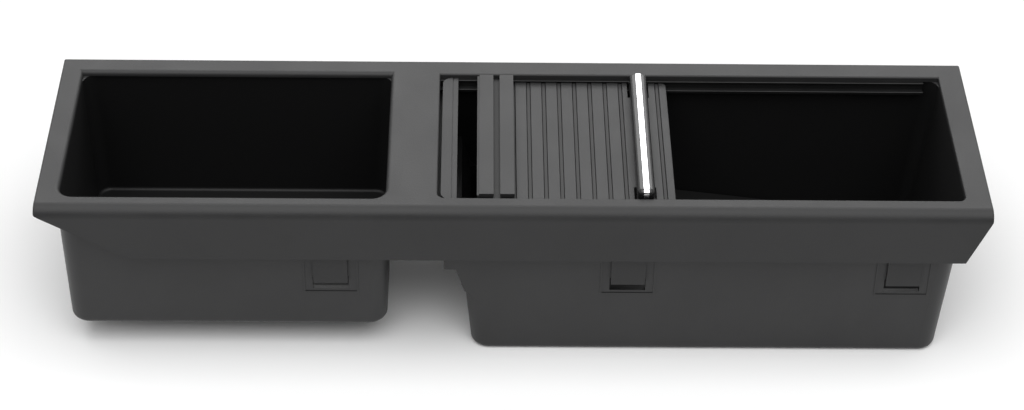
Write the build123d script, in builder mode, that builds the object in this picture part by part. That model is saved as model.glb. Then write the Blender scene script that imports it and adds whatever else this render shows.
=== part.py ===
"""Insert for a car's centre console: a bezel that carries an open tray and a deep well, and a
slatted blind with a pull bar that slides over the well between two guide rails."""
import os
from math import radians, tan

from build123d import *

# Driving dimensions in millimetres. X runs along the insert, Y across it with the user's side at
# negative Y, and Z = 0 is the underside of the well, on which the insert stands. Depths and drops
# are measured down from the bezel's top face.

# Bezel plate and its two skirts, which are cut away at a slant towards the ends
bezel_length = 400.0
bezel_width = 106.0
plate_thickness = 2.4
bezel_front_radius = 5.2
bezel_rear_radius = 1.2
bezel_end_radius = 0.8
skirt_drop = 26.3
skirt_wall = 2.4
skirt_end_drop = 3.5
skirt_cut_left = 38.0
skirt_cut_right = 9.0

# Openings in the bezel
side_rim = 10.0
tray_end_rim = 9.5
tray_length = 136.5
tray_front_corner = 6.0
tray_rear_corner = 2.5
tray_edge_radius = 2.0
bridge_width = 21.7
well_end_rim = 10.7
well_front_corner = 3.0
well_rear_corner = 1.5
well_edge_radius = 0.8

# Tubs of the tray and of the well
tub_overlap = 3.0
tub_wall = 2.0
tub_corner = 8.0
tub_base_radius = 3.0
tub_inner_radius = 1.5
tray_lap_left = 0.0
tray_lap_right = 0.7
tray_depth = 69.7
tray_draft_left = 1.0
tray_draft_right = 2.7
well_depth = 83.2
well_draft_left = 5.3
well_draft_right = 3.9
well_foot_setback = 14.5
fit_gap = 0.1

# Pocket at the left of the well, which makes its upper part longer than its foot
pocket_inset = 2.6
pocket_floor_width = 5.2
pocket_depth = 37.6
pocket_slope_end = 49.5
pocket_root = 12.0
pocket_wall_drop = 8.6
pocket_flange = 3.8
pocket_flange_thickness = 1.5

# Snap tabs of the bezel, their windows in the tubs and the guard ribs around them
tab_width = 14.6
tab_thickness = 1.6
tab_drop = 43.9
barb_height = 1.8
barb_reach = 1.2
window_drop = 48.4
window_play = 0.4
guard_width = 23.6
guard_drop = 50.6
guard_height = 22.0
guard_rib = 0.8
guard_proud = 0.3
tray_tab_inset = 24.0
well_tab_left_inset = 81.3
well_tab_right_inset = 22.5

# Sloping floor panel that stands in the well on two cross ribs
ramp_foot_height = 5.0
ramp_rise = 23.2
ramp_length = 171.0
ramp_sheet = 2.0
ramp_gap = 0.7
ramp_corner = 8.0
ramp_rib_thickness = 2.0
ramp_rib_inset = 6.0
ramp_rib_half = 36.0

# Guide rails of the blind
rail_flange = 0.8
rail_wall = 1.4
rail_base = 1.5
rail_lip = 0.8
rail_ledge = 2.4
rail_end_gap = 0.6
rail_edge_radius = 0.3
rail_left_gap = 0.5

# Slats of the blind and the film that hinges them
slat_thickness = 2.0
slat_pitch = 6.78
slat_groove = 0.2
slat_edge_radius = 0.3
slat_play = 0.25
slat_end_gap = 0.2
slat_count = 8
film_thickness = 0.4
film_margin = 0.6
bead_width = 1.3
bead_recess = 0.2
lead_width = 3.3
lead_corner = 2.4

# Fixed cross pieces over the left end of the well
cross_end_gap = 0.4
strip_gap = 1.3
strip_width = 6.7
strip_step_width = 2.2
strip_step_drop = 0.2
strip_line_width = 0.4
strip_line_depth = 0.5
strip_thickness = 0.9
strip_corner = 4.5
bar_setback = 16.5
bar_width = 15.8
bar_web = 0.5
bar_shell = 0.9
bar_front_gap = 1.8
bar_proud = 0.2
bar_groove = 2.8
bar_left_rib = 7.0
bar_lip_width = 0.9
bar_lip_drop = 0.8

# Pull bar, its carrier slat and its bright strip
blind_setback = 0.8
carrier_width = 14.6
carrier_notch_width = 9.4
carrier_notch_length = 11.0
pull_inset = 3.2
pull_width = 7.5
pull_rise = 2.8
pull_end_gap = 1.0
pull_foot_gap = 0.5
pull_overhang_gap = 0.5
pull_corner = 2.4
pull_edge_radius = 2.0
inlay_width = 2.2
inlay_depth = 0.5
inlay_proud = 0.25
inlay_end_drop = 1.5

# Heights that follow from the depths
top = well_depth
plate_under = top - plate_thickness
rail_lip_under = plate_under - rail_flange
slat_top = rail_lip_under - slat_play
slat_under = slat_top - slat_thickness
film_under = slat_under - film_thickness
rail_ledge_top = film_under - slat_play
rail_under = rail_ledge_top - rail_base

# Places across the insert, as distances from its middle plane
opening_half = bezel_width / 2 - side_rim
tub_half = opening_half + tub_overlap
tub_inner = tub_half - tub_wall
rail_outer = tub_inner - fit_gap
groove_half = rail_outer - rail_wall
lip_half = groove_half - rail_lip
ledge_half = groove_half - rail_ledge
slat_half = groove_half - slat_end_gap
cross_half = opening_half - cross_end_gap
tab_inner = tub_half + fit_gap

# Places along the insert
tray_left = -bezel_length / 2 + tray_end_rim
tray_right = tray_left + tray_length
well_left = tray_right + bridge_width
well_right = bezel_length / 2 - well_end_rim
tray_tub_left = tray_left - tray_lap_left - tub_wall
tray_tub_right = tray_right + tray_lap_right + tub_wall
well_tub_right = well_right + tub_wall
well_foot_left = well_left + well_foot_setback
pocket_left = well_left + pocket_inset
rail_left = tray_tub_right + rail_left_gap
rail_right = well_right - (tub_corner - tub_wall) - rail_end_gap
bar_left = well_left + bar_setback
bar_right = bar_left + bar_width
tray_tabs = [tray_right - tray_tab_inset]
well_tabs = [well_left + well_tab_left_inset, well_right - well_tab_right_inset]

# Places along the blind, from the slat that lies hidden under the guide bar to the leading slat
slat_width = slat_pitch - bead_width - 2 * slat_groove
joint_width = bead_width + 2 * slat_groove
blind_left = bar_right + blind_setback - slat_pitch
slat_lefts = [blind_left + slat_pitch * i for i in range(slat_count)]
carrier_left = blind_left + slat_pitch * slat_count
lead_left = carrier_left + carrier_width + joint_width
lead_right = lead_left + lead_width
bead_lefts = [x + slat_width + slat_groove for x in slat_lefts]
bead_lefts.append(carrier_left + carrier_width + slat_groove)
pull_middle = carrier_left + pull_inset + pull_width / 2


def save(piece, name):
    """Label a finished piece and write it to its own file."""
    piece.label = name
    export_step(piece, f"parts/{name}.step")


def upright(edge):
    """True for an edge that runs mainly up and down."""
    return abs((edge @ 1 - edge @ 0).Z) > 0.7 * edge.length


def tub_block(left, right, rim, base, half, corner, base_radius, draft_left=0.0, draft_right=0.0):
    """A block with rounded corners whose ends lean in towards its base."""
    rise = rim - base
    foot_left = left + rise * tan(radians(draft_left))
    foot_right = right - rise * tan(radians(draft_right))
    with BuildPart() as block:
        with BuildSketch(Plane.XZ):
            with BuildLine():
                Polyline((left, rim), (foot_left, base), (foot_right, base), (right, rim), close=True)
            make_face()
        extrude(amount=half, both=True)
        fillet(block.edges().filter_by(upright), corner)
        fillet(block.faces().sort_by(Axis.Z)[0].edges(), base_radius)
    return block.part


def mouth_block(left, right, front_corner, rear_corner):
    """The cut of a mouth through the bezel's plate, with its own corners in front and behind."""
    with BuildPart() as block:
        with BuildSketch(Plane.XY.offset(top)) as plan:
            with Locations(((left + right) / 2, 0)):
                Rectangle(right - left, 2 * opening_half)
            front, rear = plan.vertices().group_by(Axis.Y)
            fillet(front, front_corner)
            fillet(rear, rear_corner)
        extrude(amount=-2 * plate_thickness)
    return block.part


def pocket_block(inset, rim):
    """The pocket beside the well's foot: a step with a sloping underside."""
    slope_foot = well_foot_left - (top - pocket_slope_end) * tan(radians(well_draft_left))
    floor = top - pocket_depth + inset
    root = slope_foot + pocket_root + inset
    with BuildPart() as block:
        with BuildSketch(Plane.XZ):
            with BuildLine():
                Polyline(
                    (pocket_left + inset, rim),
                    (pocket_left + inset, floor),
                    (pocket_left + pocket_floor_width + inset, floor),
                    (slope_foot + inset, top - pocket_slope_end),
                    (root, top - pocket_slope_end - pocket_root),
                    (root, rim),
                    close=True,
                )
            make_face()
        extrude(amount=tub_half - inset, both=True)
    return block.part


def guard_ribs(places):
    """U-shaped ribs on the front wall of a tub, one around each snap tab."""
    depth = tub_wall / 2 + guard_proud
    with BuildPart() as ribs:
        with BuildSketch(Plane.XZ.offset(tub_half - tub_wall / 2)):
            with Locations(*[(x, top - guard_drop + guard_height / 2) for x in places]):
                Rectangle(guard_width, guard_height)
            with Locations(*[(x, top - guard_drop + guard_height / 2 + guard_rib) for x in places]):
                Rectangle(guard_width - 2 * guard_rib, guard_height, mode=Mode.SUBTRACT)
        extrude(amount=depth)
    return ribs.part


def tab_windows(places, depth):
    """Slots of a depth in the front wall of a tub, one at the foot of each snap tab."""
    height = window_drop - tab_drop + barb_height + window_play
    with BuildPart() as windows:
        with BuildSketch(Plane.XZ.offset(tub_half - depth)):
            with Locations(*[(x, top - window_drop + height / 2) for x in places]):
                Rectangle(tab_width + 2 * window_play, height)
        extrude(amount=depth)
    return windows.part


os.makedirs("parts", exist_ok=True)

# The bezel: a plate with skirts, the mouths of the tray and the well, snap tabs
with BuildPart() as bezel_frame:
    with BuildSketch(Plane.YZ.offset(-bezel_length / 2)) as section:
        with Locations((0, top - skirt_drop / 2)):
            Rectangle(bezel_width, skirt_drop)
        fillet(section.vertices().group_by(Axis.Y)[-1].sort_by(Axis.X)[-1], bezel_rear_radius)
        fillet(section.vertices().group_by(Axis.Y)[-1].sort_by(Axis.X)[0], bezel_front_radius)
        with Locations((0, plate_under - skirt_drop / 2)):
            Rectangle(bezel_width - 2 * skirt_wall, skirt_drop, mode=Mode.SUBTRACT)
    extrude(amount=bezel_length)
    with BuildSketch(Plane.XZ):
        for end, cut in ((-bezel_length / 2, skirt_cut_left), (bezel_length / 2, -skirt_cut_right)):
            with BuildLine():
                Polyline(
                    (end, top - skirt_end_drop),
                    (end + cut, top - skirt_drop),
                    (end, top - skirt_drop),
                    close=True,
                )
            make_face()
    extrude(amount=bezel_width, both=True, mode=Mode.SUBTRACT)
    add(mouth_block(tray_left, tray_right, tray_front_corner, tray_rear_corner), mode=Mode.SUBTRACT)
    add(mouth_block(well_left, well_right, well_front_corner, well_rear_corner), mode=Mode.SUBTRACT)
    mouths = bezel_frame.faces().sort_by(Axis.Z)[-1].inner_wires().sort_by(Axis.X)
    fillet(mouths[0].edges(), tray_edge_radius)
    mouths = bezel_frame.faces().sort_by(Axis.Z)[-1].inner_wires().sort_by(Axis.X)
    fillet(mouths[-1].edges(), well_edge_radius)
    for end in (0, -1):
        end_face = bezel_frame.faces().filter_by(Axis.X).sort_by(Axis.X)[end]
        fillet(end_face.edges().filter_by(Axis.Y).sort_by(Axis.Z)[-1], bezel_end_radius)
    for side in (-1, 1):
        with BuildSketch(Plane.XY.offset(plate_under)):
            with Locations(*[(x, side * (tab_inner + tab_thickness / 2)) for x in tray_tabs + well_tabs]):
                Rectangle(tab_width, tab_thickness)
        extrude(amount=plate_thickness - tab_drop)
        barb_middle = side * (tab_inner + (tab_thickness - barb_reach) / 2)
        with BuildSketch(Plane.XY.offset(top - tab_drop)):
            with Locations(*[(x, barb_middle) for x in tray_tabs + well_tabs]):
                Rectangle(tab_width, tab_thickness + barb_reach)
        extrude(amount=barb_height)
save(bezel_frame.part, "bezel_frame")

# The tray's tub
tray_base = top - tray_depth
with BuildPart() as front_tray:
    add(tub_block(
        tray_tub_left, tray_tub_right, plate_under, tray_base, tub_half,
        tub_corner, tub_base_radius, draft_left=tray_draft_left, draft_right=tray_draft_right,
    ))
    ribs = guard_ribs(tray_tabs)
    add(ribs)
    mirror(ribs, about=Plane.XZ)
    add(tub_block(
        tray_tub_left + tub_wall, tray_tub_right - tub_wall, plate_under, tray_base + tub_wall, tub_inner,
        tub_corner - tub_wall, tub_inner_radius,
        draft_left=tray_draft_left, draft_right=tray_draft_right,
    ), mode=Mode.SUBTRACT)
    add(tab_windows(tray_tabs, tub_wall + fit_gap), mode=Mode.SUBTRACT)
    mirror(tab_windows(tray_tabs, barb_reach + window_play), about=Plane.XZ, mode=Mode.SUBTRACT)
save(front_tray.part, "front_tray")

# The well's tub, with the pocket at its left and seats for the guide rails along its walls
well_rim_left = well_foot_left - plate_under * tan(radians(well_draft_left))
with BuildPart() as deep_well:
    add(tub_block(
        well_rim_left, well_tub_right, plate_under, 0, tub_half,
        tub_corner, tub_base_radius, draft_left=well_draft_left, draft_right=well_draft_right,
    ))
    add(pocket_block(0, plate_under))
    ribs = guard_ribs(well_tabs)
    add(ribs)
    mirror(ribs, about=Plane.XZ)
    add(tub_block(
        well_rim_left + tub_wall, well_right, plate_under, tub_wall, tub_inner,
        tub_corner - tub_wall, tub_inner_radius,
        draft_left=well_draft_left, draft_right=well_draft_right,
    ), mode=Mode.SUBTRACT)
    add(pocket_block(tub_wall, plate_under), mode=Mode.SUBTRACT)
    add(tab_windows(well_tabs, tub_wall + fit_gap), mode=Mode.SUBTRACT)
    mirror(tab_windows(well_tabs, barb_reach + window_play), about=Plane.XZ, mode=Mode.SUBTRACT)
    with BuildSketch(Plane.XY.offset(plate_under)):
        with Locations(((rail_left + rail_right) / 2, 0)):
            Rectangle(rail_right - rail_left, 2 * tub_half)
    extrude(amount=-rail_flange, mode=Mode.SUBTRACT)
    with BuildSketch(Plane.XY.offset(plate_under)):
        with Locations((pocket_left, 0)):
            Rectangle(2 * pocket_floor_width, 2 * tub_inner)
    extrude(amount=plate_thickness - pocket_wall_drop, mode=Mode.SUBTRACT)
    with BuildSketch(Plane.XY.offset(top - pocket_wall_drop)):
        with Locations((pocket_left + (tub_wall - pocket_flange) / 2, 0)):
            Rectangle(pocket_flange + tub_wall, 2 * tub_half)
    extrude(amount=-pocket_flange_thickness)
save(deep_well.part, "deep_well")

# The sloping floor panel inside the well
ramp_left = well_foot_left + tub_wall + ramp_gap
ramp_right = ramp_left + ramp_length
ramp_low = tub_wall + ramp_foot_height
ramp_high = ramp_low + ramp_rise
with BuildPart() as well_floor:
    with BuildSketch(Plane.XZ):
        with BuildLine():
            Polyline(
                (ramp_left, ramp_high),
                (ramp_right, ramp_low),
                (ramp_right, ramp_low - ramp_sheet),
                (ramp_left, ramp_high - ramp_sheet),
                close=True,
            )
        make_face()
    extrude(amount=tub_inner - ramp_gap, both=True)
    fillet(well_floor.edges().filter_by(Axis.Z).group_by(Axis.X)[0], ramp_corner)
    for inset in (ramp_rib_inset, ramp_length - ramp_rib_inset):
        rib_top = ramp_high - ramp_rise * inset / ramp_length - ramp_sheet / 2
        with BuildSketch(Plane.XY.offset(tub_wall)):
            with Locations((ramp_left + inset, 0)):
                Rectangle(ramp_rib_thickness, 2 * ramp_rib_half)
        extrude(amount=rib_top - tub_wall)
save(well_floor.part, "well_floor")

# Guide rails: a flange held between bezel and tub, and a groove for the ends of the slats
with BuildPart() as guide_rail_rear:
    with BuildSketch(Plane.YZ.offset(rail_left)) as profile:
        with BuildLine():
            Polyline(
                (lip_half, plate_under),
                (tub_half, plate_under),
                (tub_half, rail_lip_under),
                (rail_outer, rail_lip_under),
                (rail_outer, rail_under),
                (ledge_half, rail_under),
                (ledge_half, rail_ledge_top),
                (groove_half, rail_ledge_top),
                (groove_half, rail_lip_under),
                (lip_half, rail_lip_under),
                close=True,
            )
        make_face()
        ledge_edges, lip_edges = profile.vertices().group_by(Axis.X)[:2]
        fillet(ledge_edges + lip_edges, rail_edge_radius)
    extrude(amount=rail_right - rail_left)
save(guide_rail_rear.part, "guide_rail_rear")

with BuildPart() as guide_rail_front:
    mirror(guide_rail_rear.part, about=Plane.XZ)
save(guide_rail_front.part, "guide_rail_front")

# End strip: a thin stepped plate that lies on the lips of the rails
strip_left = well_left + strip_gap
with BuildPart() as end_strip:
    with BuildSketch(Plane.XY.offset(plate_under)) as plan:
        with Locations((strip_left + strip_width / 2, 0)):
            Rectangle(strip_width, 2 * cross_half)
        fillet(plan.vertices().group_by(Axis.X)[0], strip_corner)
    extrude(amount=strip_thickness)
    with BuildSketch(Plane.XY.offset(plate_under + strip_thickness)):
        with Locations((strip_left + strip_width - strip_step_width / 2, 0)):
            Rectangle(strip_step_width, 2 * cross_half)
    extrude(amount=-strip_step_drop, mode=Mode.SUBTRACT)
    with BuildSketch(Plane.XY.offset(plate_under + strip_thickness)):
        with Locations((strip_left + strip_width - strip_step_width, 0)):
            Rectangle(strip_line_width, 2 * cross_half)
    extrude(amount=-strip_line_depth, mode=Mode.SUBTRACT)
save(end_strip.part, "end_strip")

# Guide bar: two hollow ribs on a thin web, under which the blind slips
with BuildPart() as guide_bar:
    bar_top = top + bar_proud
    left_rib_end = bar_left + bar_left_rib
    right_rib_start = left_rib_end + bar_groove
    rib_front = bar_front_gap - cross_half
    rib_length = cross_half - rib_front
    with BuildSketch(Plane.XZ.offset(-cross_half)):
        with BuildLine():
            Polyline(
                (bar_left, plate_under),
                (bar_left, bar_top - bar_lip_drop),
                (bar_left + bar_lip_width, bar_top - bar_lip_drop),
                (bar_left + bar_lip_width, bar_top),
                (left_rib_end, bar_top),
                (left_rib_end, plate_under),
                close=True,
            )
        make_face()
        with BuildLine():
            Polyline(
                (right_rib_start, plate_under),
                (right_rib_start, bar_top),
                (bar_right, bar_top),
                (bar_right, plate_under),
                close=True,
            )
        make_face()
        hollow = bar_top - bar_lip_drop - bar_shell - plate_under
        for left, right in ((bar_left, left_rib_end), (right_rib_start, bar_right)):
            with Locations(((left + right) / 2, plate_under + hollow / 2)):
                Rectangle(right - left - 2 * bar_shell, hollow, mode=Mode.SUBTRACT)
    extrude(amount=rib_length)
    with BuildSketch(Plane.XY.offset(plate_under)):
        with Locations(((bar_left + bar_right) / 2, 0)):
            Rectangle(bar_width, 2 * cross_half)
    extrude(amount=bar_web)
save(guide_bar.part, "guide_bar")

# Slats of the blind, the first one hidden under the guide bar
for index, left in enumerate(slat_lefts):
    with BuildPart() as slat:
        with BuildSketch(Plane.XY.offset(slat_under)):
            with Locations((left + slat_width / 2, 0)):
                Rectangle(slat_width, 2 * slat_half)
        extrude(amount=slat_thickness)
        fillet(slat.faces().sort_by(Axis.Z)[-1].edges().filter_by(Axis.Y), slat_edge_radius)
    save(slat.part, f"slat_{index + 1}")

# Carrier slat under the pull bar, notched at both ends
with BuildPart() as pull_carrier:
    with BuildSketch(Plane.XY.offset(slat_under)):
        with Locations((carrier_left + carrier_width / 2, 0)):
            Rectangle(carrier_width, 2 * slat_half)
        with Locations((pull_middle, slat_half), (pull_middle, -slat_half)):
            Rectangle(carrier_notch_width, 2 * carrier_notch_length, mode=Mode.SUBTRACT)
    extrude(amount=slat_thickness)
    fillet(pull_carrier.edges().filter_by(Axis.Y).group_by(Axis.Z)[-1].sort_by(Axis.X)[0], slat_edge_radius)
    fillet(pull_carrier.edges().filter_by(Axis.Y).group_by(Axis.Z)[-1].sort_by(Axis.X)[-1], slat_edge_radius)
save(pull_carrier.part, "pull_carrier")

# Leading slat with rounded front corners
with BuildPart() as leading_slat:
    with BuildSketch(Plane.XY.offset(slat_under)) as plan:
        with Locations((lead_left + lead_width / 2, 0)):
            Rectangle(lead_width, 2 * slat_half)
        fillet(plan.vertices().group_by(Axis.X)[-1], lead_corner)
    extrude(amount=slat_thickness)
    fillet(leading_slat.faces().sort_by(Axis.Z)[-1].edges(), slat_edge_radius)
save(leading_slat.part, "leading_slat")

# Hinge film under the slats, with a bead in each gap between them
film_left = blind_left + film_margin
film_right = lead_right - film_margin
with BuildPart() as hinge_film:
    with BuildSketch(Plane.XY.offset(film_under)):
        with Locations(((film_left + film_right) / 2, 0)):
            Rectangle(film_right - film_left, 2 * (slat_half - film_margin))
        with Locations((pull_middle, slat_half), (pull_middle, -slat_half)):
            Rectangle(carrier_notch_width, 2 * carrier_notch_length, mode=Mode.SUBTRACT)
    extrude(amount=film_thickness)
    with BuildSketch(Plane.XY.offset(slat_under)):
        with Locations(*[(x + bead_width / 2, 0) for x in bead_lefts]):
            Rectangle(bead_width, 2 * (slat_half - film_margin))
    extrude(amount=slat_thickness - bead_recess)
save(hinge_film.part, "hinge_film")

# Bright strip inlaid over the pull bar from end to end
pull_top = top + pull_rise
pull_half = opening_half - pull_end_gap
arch_height = pull_top - slat_top
with BuildPart() as pull_strip:
    with BuildSketch(Plane.YZ.offset(pull_middle - inlay_width / 2)):
        for grow, mode in ((inlay_proud, Mode.ADD), (-inlay_depth, Mode.SUBTRACT)):
            with Locations((0, pull_top + grow - arch_height)):
                RectangleRounded(
                    2 * (pull_half + grow), 2 * arch_height, pull_edge_radius + grow, mode=mode,
                )
        with Locations((0, top - inlay_end_drop + arch_height)):
            Rectangle(4 * pull_half, 2 * arch_height, mode=Mode.INTERSECT)
    extrude(amount=inlay_width)
save(pull_strip.part, "pull_strip")

# Pull bar: a foot on the carrier between the rails' lips, and a rounded grip above the lips
with BuildPart() as pull_bar:
    grip_under = plate_under + pull_overhang_gap
    with BuildSketch(Plane.XY.offset(grip_under)):
        with Locations((pull_middle, 0)):
            RectangleRounded(pull_width, 2 * pull_half, pull_corner)
    extrude(amount=pull_top - grip_under)
    fillet(pull_bar.faces().sort_by(Axis.Z)[-1].edges(), pull_edge_radius)
    with BuildSketch(Plane.XY.offset(slat_top)):
        with Locations((pull_middle, 0)):
            Rectangle(pull_width, 2 * (lip_half - pull_foot_gap))
    extrude(amount=grip_under - slat_top)
    add(pull_strip.part, mode=Mode.SUBTRACT)
save(pull_bar.part, "pull_bar")
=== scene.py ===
"""Looks of the console insert: moulded finishes, a white sweep, studio light and the camera."""
from math import cos, pi, sin

import bpy
from mathutils import Matrix, Vector

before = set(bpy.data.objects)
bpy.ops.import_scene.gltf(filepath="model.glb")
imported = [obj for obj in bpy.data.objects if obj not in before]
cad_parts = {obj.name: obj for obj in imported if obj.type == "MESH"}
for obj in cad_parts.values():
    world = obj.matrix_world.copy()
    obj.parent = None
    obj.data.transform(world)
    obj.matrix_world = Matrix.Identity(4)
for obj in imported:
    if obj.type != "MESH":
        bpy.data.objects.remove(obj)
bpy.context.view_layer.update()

# Where the camera stood, in metres from the middle of the underside, and how it was turned
CAMERA_PLACE = Vector((-0.01668, -0.85658, 0.75173))
CAMERA_YAW = 0.01919
CAMERA_PITCH = 0.69065
CAMERA_ROLL = -0.01862
CAMERA_LENS = 88.62
SENSOR_WIDTH = 36.0

# Points in the middle of the two tubs' mouths: a wall that faces one is on the inside, where shade is
# painted
TRAY_MOUTH = (-0.122, 0.0, 0.080)
WELL_MOUTH = (0.080, 0.0, 0.080)

# Height of the web between the ribs of the guide bar, and how soft the edge of its painted shade is
WEB_TOP = 0.0815
WEB_FADE = 0.0002

# Colour sockets of a Mix node that mixes colours
MIX_FACTOR = 0
MIX_FROM = 6
MIX_TO = 7
MIX_RESULT = 2

# Darkest and lightest grey of each finish; the bezel, the bar and the slats share one pair
TOP_SHADES = ((0.021, 0.021, 0.0214, 1.0), (0.026, 0.026, 0.0265, 1.0))
TUB_SHADES = ((0.026, 0.026, 0.0265, 1.0), (0.032, 0.032, 0.0325, 1.0))
# The rails' near-black is partly their own dark plastic and partly painted shade of the groove under the
# bezel's lip
RAIL_SHADES = ((0.006, 0.006, 0.0061, 1.0), (0.009, 0.009, 0.0091, 1.0))
FILM_SHADES = ((0.016, 0.016, 0.0162, 1.0), (0.020, 0.020, 0.0202, 1.0))
GRIP_SHADES = ((0.006, 0.006, 0.0062, 1.0), (0.010, 0.010, 0.0102, 1.0))
STRIP_SHADES = ((0.86, 0.86, 0.87, 1.0), (0.95, 0.95, 0.96, 1.0))

# Black painted shade of the insides of the tubs and of the groove in the guide bar
PAINTED_SHADE_BLACK = (0.006, 0.006, 0.0062, 1.0)
PAINTED_SHADE_ROUGHNESS = 0.52

# Share of the fine specks in the height of the grain, and the range of gloss of grip and strip
SPECK_SHARE = 0.35
GRIP_ROUGHNESS = (0.20, 0.34)
STRIP_ROUGHNESS = (0.10, 0.22)

# Stage: a white floor, a dark card behind the camera, and the light from all round
FLOOR_SIZE = 8.0
FLOOR_SHADE = 0.97
CARD_SHADE = 0.01
CARD_DISTANCE = 1.3
CARD_WIDTH = 5.0
CARD_HEIGHT = 0.8
AMBIENT = 0.45
WATTS_PER_RADIANCE = 4.0


def add_node(tree, kind, inputs=None, **settings):
    """Put a node in a tree, set its own settings, and set or link its inputs."""
    node = tree.nodes.new(kind)
    for name, value in settings.items():
        setattr(node, name, value)
    for key, value in (inputs or {}).items():
        if isinstance(value, bpy.types.NodeSocket):
            tree.links.new(value, node.inputs[key])
        else:
            node.inputs[key].default_value = value
    return node


def new_group(name, takes, gives):
    """Start a shader node group with the inputs it takes and the values it gives."""
    group = bpy.data.node_groups.new(name, "ShaderNodeTree")
    for label, kind, value in takes:
        socket = group.interface.new_socket(label, in_out="INPUT", socket_type=kind)
        socket.default_value = value
    for label in gives:
        group.interface.new_socket(label, in_out="OUTPUT", socket_type="NodeSocketFloat")
    return group, group.nodes.new("NodeGroupInput"), group.nodes.new("NodeGroupOutput")


def moulded_grain():
    """Fine pebbled grain of a textured mould, with faint flow clouds in the plastic."""
    group, entry, leave = new_group(
        "moulded grain",
        [("Pebbles per Metre", "NodeSocketFloat", 1800.0)],
        ["Height", "Clouds"],
    )
    place = add_node(group, "ShaderNodeTexCoord").outputs["Object"]
    pebbles = add_node(
        group, "ShaderNodeTexVoronoi",
        {"Vector": place, "Scale": entry.outputs["Pebbles per Metre"]},
        feature="SMOOTH_F1",
    )
    specks = add_node(
        group, "ShaderNodeTexNoise",
        {"Vector": place, "Scale": 5200.0, "Detail": 2.0, "Roughness": 0.6},
    )
    height = add_node(
        group, "ShaderNodeMath",
        {0: specks.outputs["Fac"], 1: SPECK_SHARE, 2: pebbles.outputs["Distance"]},
        operation="MULTIPLY_ADD",
    )
    flow = add_node(
        group, "ShaderNodeTexNoise",
        {"Vector": place, "Scale": 26.0, "Detail": 5.0, "Roughness": 0.62, "Distortion": 0.4},
    )
    clouds = add_node(
        group, "ShaderNodeMapRange",
        {"Value": flow.outputs["Fac"], "From Min": 0.3, "From Max": 0.7},
    )
    group.links.new(height.outputs[0], leave.inputs["Height"])
    group.links.new(clouds.outputs["Result"], leave.inputs["Clouds"])
    return group


def tub_inside():
    """Mask of the walls that face the middle of a tub's mouth, where shade is painted."""
    group, entry, leave = new_group("tub inside", [("Mouth", "NodeSocketVector", (0, 0, 0))], ["Inside"])
    place = add_node(group, "ShaderNodeTexCoord")
    inward = add_node(
        group, "ShaderNodeVectorMath",
        {0: entry.outputs["Mouth"], 1: place.outputs["Object"]},
        operation="SUBTRACT",
    )
    facing = add_node(
        group, "ShaderNodeVectorMath",
        {0: inward.outputs["Vector"], 1: place.outputs["Normal"]},
        operation="DOT_PRODUCT",
    )
    inside = add_node(
        group, "ShaderNodeMapRange",
        {"Value": facing.outputs["Value"], "From Min": -0.0005, "From Max": 0.0005},
    )
    group.links.new(inside.outputs["Result"], leave.inputs["Inside"])
    return group


GRAIN = moulded_grain()
INSIDE = tub_inside()


def new_finish(name, specular):
    """A material with one Principled shader."""
    finish = bpy.data.materials.new(name)
    finish.use_nodes = True
    shader = finish.node_tree.nodes["Principled BSDF"]
    shader.inputs["Specular IOR Level"].default_value = specular
    return finish, finish.node_tree, shader


def blend_colours(tree, factor, start, end):
    """A colour that goes from start to end with a factor that varies over the surface."""
    mix = add_node(
        tree, "ShaderNodeMix",
        {MIX_FACTOR: factor, MIX_FROM: start, MIX_TO: end},
        data_type="RGBA",
    )
    return mix.outputs[MIX_RESULT]


def blend_values(tree, factor, start, end):
    """A number that goes from start to end with a factor that varies over the surface."""
    blend = add_node(tree, "ShaderNodeMapRange", {"Value": factor, "To Min": start, "To Max": end})
    return blend.outputs["Result"]


def moulded_plastic(name, shades, roughness, pebbles, depth, specular, painted_shade=None):
    """Textured plastic between two shades of grey, with black painted shade where a mask asks for it."""
    finish, tree, shader = new_finish(name, specular)
    grain = add_node(tree, "ShaderNodeGroup", node_tree=GRAIN)
    grain.inputs["Pebbles per Metre"].default_value = pebbles
    clouds = grain.outputs["Clouds"]
    colour = blend_colours(tree, clouds, *shades)
    gloss = blend_values(tree, clouds, *roughness)
    if painted_shade:
        mask = painted_shade(tree)
        colour = blend_colours(tree, mask, colour, PAINTED_SHADE_BLACK)
        gloss = blend_values(tree, mask, gloss, PAINTED_SHADE_ROUGHNESS)
    bump = add_node(
        tree, "ShaderNodeBump",
        {"Height": grain.outputs["Height"], "Strength": 0.5, "Distance": depth},
    )
    tree.links.new(colour, shader.inputs["Base Color"])
    tree.links.new(gloss, shader.inputs["Roughness"])
    tree.links.new(bump.outputs["Normal"], shader.inputs["Normal"])
    return finish


def tub_painted_shade(mouth):
    """Painted shade on the inside of the tub that has its mouth at a point."""
    def mask(tree):
        inside = add_node(tree, "ShaderNodeGroup", node_tree=INSIDE)
        inside.inputs["Mouth"].default_value = mouth
        return inside.outputs["Inside"]
    return mask


def web_painted_shade(tree):
    """Painted shade on the web at the bottom of the groove between the guide bar's ribs."""
    place = add_node(tree, "ShaderNodeTexCoord").outputs["Object"]
    height = add_node(tree, "ShaderNodeSeparateXYZ", {"Vector": place}).outputs["Z"]
    low = add_node(
        tree, "ShaderNodeMapRange",
        {"Value": height, "From Min": WEB_TOP, "From Max": WEB_TOP - WEB_FADE},
    )
    return low.outputs["Result"]


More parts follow.
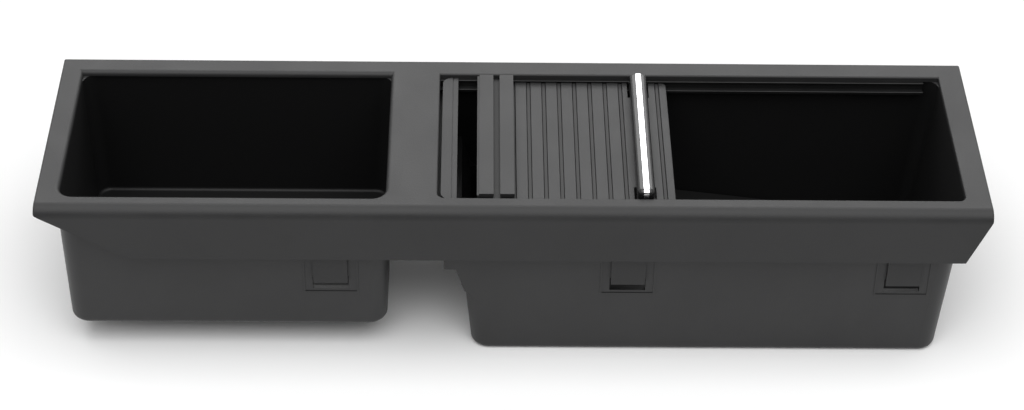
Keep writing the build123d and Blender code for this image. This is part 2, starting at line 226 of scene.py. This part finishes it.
def gloss_grip(name):
    """Dark polished plastic of the pull bar, with faint hairlines from handling."""
    finish, tree, shader = new_finish(name, specular=0.4)
    place = add_node(tree, "ShaderNodeTexCoord").outputs["Object"]
    along = add_node(tree, "ShaderNodeMapping", {"Vector": place, "Scale": (900.0, 18.0, 900.0)})
    hairs = add_node(
        tree, "ShaderNodeTexNoise",
        {"Vector": along.outputs["Vector"], "Scale": 1.0, "Detail": 3.0, "Roughness": 0.7},
    ).outputs["Fac"]
    colour = blend_colours(tree, hairs, *GRIP_SHADES)
    tree.links.new(colour, shader.inputs["Base Color"])
    tree.links.new(blend_values(tree, hairs, *GRIP_ROUGHNESS), shader.inputs["Roughness"])
    return finish


def bright_metal(name):
    """Bright strip with a fine lengthwise brushing."""
    finish, tree, shader = new_finish(name, specular=0.5)
    shader.inputs["Metallic"].default_value = 1.0
    place = add_node(tree, "ShaderNodeTexCoord").outputs["Object"]
    along = add_node(tree, "ShaderNodeMapping", {"Vector": place, "Scale": (4200.0, 30.0, 4200.0)})
    brushing = add_node(
        tree, "ShaderNodeTexNoise",
        {"Vector": along.outputs["Vector"], "Scale": 1.0, "Detail": 2.0, "Roughness": 0.6},
    ).outputs["Fac"]
    colour = blend_colours(tree, brushing, *STRIP_SHADES)
    bump = add_node(tree, "ShaderNodeBump", {"Height": brushing, "Strength": 0.2, "Distance": 0.00002})
    tree.links.new(colour, shader.inputs["Base Color"])
    tree.links.new(blend_values(tree, brushing, *STRIP_ROUGHNESS), shader.inputs["Roughness"])
    tree.links.new(bump.outputs["Normal"], shader.inputs["Normal"])
    return finish


bezel_plastic = moulded_plastic(
    "bezel plastic", TOP_SHADES,
    roughness=(0.42, 0.52), pebbles=1800.0, depth=0.00006, specular=0.25,
)
# The insides of the tray and the well are darkened with black painted shade
tray_plastic = moulded_plastic(
    "tray plastic", TUB_SHADES,
    roughness=(0.38, 0.46), pebbles=1400.0, depth=0.00005, specular=0.25, painted_shade=tub_painted_shade(TRAY_MOUTH),
)
well_plastic = moulded_plastic(
    "well plastic", TUB_SHADES,
    roughness=(0.38, 0.46), pebbles=1400.0, depth=0.00005, specular=0.25, painted_shade=tub_painted_shade(WELL_MOUTH),
)
# The well's floor is black painted shade all over
well_floor_painted_shade = moulded_plastic(
    "well floor painted shade", (PAINTED_SHADE_BLACK, PAINTED_SHADE_BLACK),
    roughness=(0.46, 0.56), pebbles=1400.0, depth=0.00005, specular=0.25,
)
# The guide bar is black painted shade below the top of the web in its groove
bar_plastic = moulded_plastic(
    "bar plastic", TOP_SHADES,
    roughness=(0.42, 0.52), pebbles=2200.0, depth=0.00005, specular=0.25, painted_shade=web_painted_shade,
)
slat_plastic = moulded_plastic(
    "slat plastic", TOP_SHADES,
    roughness=(0.42, 0.52), pebbles=2200.0, depth=0.00005, specular=0.26,
)
# Rail shades: partly the rails' own dark plastic, partly painted shade of the groove under the lip
rail_plastic = moulded_plastic(
    "rail plastic", RAIL_SHADES,
    roughness=(0.34, 0.44), pebbles=2200.0, depth=0.00003, specular=0.3,
)
film_plastic = moulded_plastic(
    "film plastic", FILM_SHADES,
    roughness=(0.50, 0.60), pebbles=2600.0, depth=0.00003, specular=0.26,
)
grip_plastic = gloss_grip("grip plastic")
strip_metal = bright_metal("strip metal")

FINISHES = {
    "bezel_frame": bezel_plastic,
    "front_tray": tray_plastic,
    "deep_well": well_plastic,
    "well_floor": well_floor_painted_shade,
    "guide_rail_front": rail_plastic,
    "guide_rail_rear": rail_plastic,
    "end_strip": bezel_plastic,
    "guide_bar": bar_plastic,
    "pull_carrier": slat_plastic,
    "leading_slat": slat_plastic,
    "hinge_film": film_plastic,
    "pull_bar": grip_plastic,
    "pull_strip": strip_metal,
}
for name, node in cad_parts.items():
    node.material_slots[0].material = FINISHES.get(name, slat_plastic)


def plain_finish(name, shade):
    """A matt finish of one shade, for the stage."""
    finish, _, shader = new_finish(name, specular=0.0)
    shader.inputs["Base Color"].default_value = (shade, shade, shade, 1.0)
    shader.inputs["Roughness"].default_value = 1.0
    return finish


def lay_floor():
    """A white sweep under the insert, large enough to fill any view from above."""
    bpy.ops.mesh.primitive_plane_add(size=FLOOR_SIZE)
    floor = bpy.context.object
    floor.name = "white_sweep"
    floor.data.materials.append(plain_finish("white sweep", FLOOR_SHADE))


def hang_softbox(name, place, aim, width, height, radiance, sheen_only=False):
    """A softbox of a size and brightness at a place, turned to face a point; it may give sheen alone."""
    lamp = bpy.data.lights.new(name, "AREA")
    lamp.shape = "RECTANGLE"
    lamp.size = width
    lamp.size_y = height
    lamp.energy = WATTS_PER_RADIANCE * width * height * radiance
    box = bpy.data.objects.new(name, lamp)
    box.location = place
    box.rotation_euler = (Vector(aim) - Vector(place)).to_track_quat("-Z", "Y").to_euler()
    box.visible_camera = False
    box.visible_diffuse = not sheen_only
    bpy.context.scene.collection.objects.link(box)


def stand_card():
    """A dark card in front of the insert, behind the camera, which only its sheen shows."""
    bpy.ops.mesh.primitive_plane_add(size=1.0, location=(0.0, -CARD_DISTANCE, CARD_HEIGHT / 2))
    card = bpy.context.object
    card.name = "dark_card"
    card.rotation_euler = (pi / 2, 0.0, 0.0)
    card.scale = (CARD_WIDTH, CARD_HEIGHT, 1.0)
    card.data.materials.append(plain_finish("dark card", CARD_SHADE))
    card.visible_camera = False
    card.visible_diffuse = False
    card.visible_shadow = False


def surround():
    """Even light from all round, which the camera and reflections see as white."""
    world = bpy.data.worlds.new("white room")
    world.use_nodes = True
    tree = world.node_tree
    ray = add_node(tree, "ShaderNodeLightPath")
    seen = add_node(
        tree, "ShaderNodeMath",
        {0: ray.outputs["Is Camera Ray"], 1: ray.outputs["Is Glossy Ray"]},
        operation="MAXIMUM",
    ).outputs[0]
    seen = add_node(
        tree, "ShaderNodeMath",
        {0: seen, 1: ray.outputs["Is Transmission Ray"]},
        operation="MAXIMUM",
    ).outputs[0]
    light = tree.nodes["Background"]
    light.inputs["Color"].default_value = (1.0, 1.0, 1.0, 1.0)
    tree.links.new(blend_values(tree, seen, AMBIENT, 1.0), light.inputs["Strength"])
    bpy.context.scene.world = world


def stand_camera():
    """The camera where the picture was taken from, with the lens that fits its perspective."""
    forward = Vector((
        sin(CAMERA_YAW) * cos(CAMERA_PITCH),
        cos(CAMERA_YAW) * cos(CAMERA_PITCH),
        -sin(CAMERA_PITCH),
    ))
    level = Vector((cos(CAMERA_YAW), -sin(CAMERA_YAW), 0.0))
    down = forward.cross(level)
    right = level * cos(CAMERA_ROLL) + down * sin(CAMERA_ROLL)
    upward = level * sin(CAMERA_ROLL) - down * cos(CAMERA_ROLL)
    turn = Matrix((right, upward, -forward)).transposed()
    lens = bpy.data.cameras.new("camera")
    lens.lens = CAMERA_LENS
    lens.sensor_width = SENSOR_WIDTH
    lens.sensor_fit = "HORIZONTAL"
    camera = bpy.data.objects.new("camera", lens)
    camera.matrix_world = Matrix.Translation(CAMERA_PLACE) @ turn.to_4x4()
    bpy.context.scene.collection.objects.link(camera)
    bpy.context.scene.camera = camera


lay_floor()
stand_card()
surround()
hang_softbox(
    "rear softbox", place=(0.0, 1.25, 1.10), aim=(0.0, 0.0, 0.08),
    width=1.8, height=0.8, radiance=3.1, sheen_only=True,
)
hang_softbox(
    "top softbox", place=(0.0, -0.6, 1.9), aim=(0.0, 0.0, 0.0),
    width=2.2, height=2.2, radiance=2.1,
)
stand_camera()
bpy.context.scene.view_settings.view_transform = "Standard"
